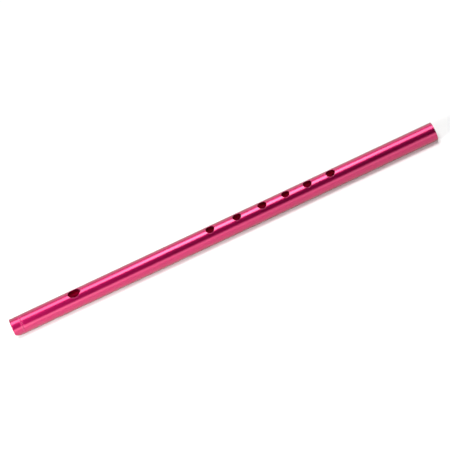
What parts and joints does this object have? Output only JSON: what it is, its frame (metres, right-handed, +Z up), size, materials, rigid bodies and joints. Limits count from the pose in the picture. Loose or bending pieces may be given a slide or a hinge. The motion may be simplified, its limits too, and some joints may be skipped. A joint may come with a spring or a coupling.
{
  "type": "tin whistle",
  "caption": "Straight metal tube whistle with a bevelled mouthpiece cap, an inner fipple block, an oval window and finger holes along the top.",
  "frame": {"origin": "under the middle of the whistle's length, on the surface it lies on, below the tube's axis", "axes": "+X from the mouth end to the open foot end, +Z up through the finger holes, which face up"},
  "size_m": [0.305, 0.0126, 0.0127],
  "materials": {
    "anodised_tube": "pink dyed anodising, polished, with faint lengthwise draw lines",
    "anodised_cap": "pink dyed anodising, polished, turned round the cap",
    "block": "turned and milled black acetal"
  },
  "bodies": {
    "tube": {"body_tube": "anodised_tube"},
    "mouthpiece": {"mouthpiece_cap": "anodised_cap", "fipple_block": "block"}
  },
  "joints": [
    {"name": "mouthpiece_pull", "type": "slide", "parent": "tube", "child": "mouthpiece", "axis": [-1, 0, 0], "range_m": [0, 0.0343]}
  ]
}
